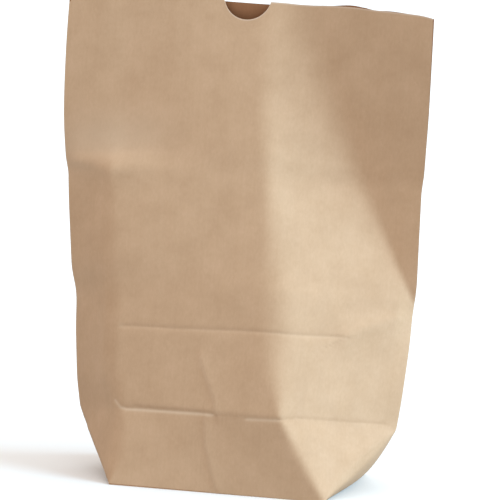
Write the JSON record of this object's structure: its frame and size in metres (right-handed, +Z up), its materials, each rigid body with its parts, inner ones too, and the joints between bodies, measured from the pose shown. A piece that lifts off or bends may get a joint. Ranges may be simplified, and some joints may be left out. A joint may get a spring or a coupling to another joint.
{
  "type": "brown paper lunch bag",
  "caption": "Brown kraft paper lunch bag standing open on a folded cross bottom, with single side creases and a half-round thumb cut in the front edge.",
  "frame": {"origin": "middle of the base's underside", "axes": "+Z up from the base to the mouth, front with the thumb cut towards -Y, +X to the right seen from the front"},
  "size_m": [0.189, 0.0801, 0.2392],
  "materials": {
    "kraft_paper": "matt unbleached kraft paper with a faint machine grain"
  },
  "bodies": {
    "root": {"paper_bag": "kraft_paper"}
  },
  "joints": []
}
